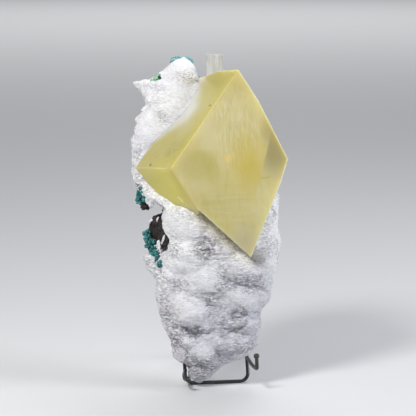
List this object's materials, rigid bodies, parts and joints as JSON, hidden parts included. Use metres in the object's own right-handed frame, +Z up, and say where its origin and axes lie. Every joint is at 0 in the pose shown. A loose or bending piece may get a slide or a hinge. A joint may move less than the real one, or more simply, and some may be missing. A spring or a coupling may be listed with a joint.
{
  "type": "calcite on mordenite mineral specimen",
  "caption": "Yellow calcite crystal on a lumpy white mordenite matrix with basalt and blue-green crusts, standing upright on a bent wire display stand.",
  "frame": {"origin": "on the surface it stands on, under the middle of the whole", "axes": "+Z up, +Y to the back, -Y the side that the calcite's large face shows, +X to the right seen from the front"},
  "size_m": [0.0859, 0.0914, 0.18],
  "materials": {
    "calcite": "smooth cleavage faces, hazy inside",
    "stilbite": "pearly, striated",
    "mordenite": "matt, finely fibrous",
    "basalt": "rough broken",
    "celadonite": "matt, earthy",
    "stand_wire": "satin black"
  },
  "bodies": {
    "root": {"calcite_crystal": "calcite", "stilbite_blade": "stilbite", "mordenite_matrix": "mordenite", "basalt_matrix": "basalt", "celadonite_notch_upper": "celadonite", "celadonite_notch_lower": "celadonite", "celadonite_shoulder": "celadonite", "celadonite_crest_left": "celadonite", "celadonite_crest_right": "celadonite", "stand_frame": "stand_wire", "stand_rear_leg": "stand_wire", "stand_hook_right": "stand_wire", "stand_hook_left": "stand_wire"}
  },
  "joints": []
}
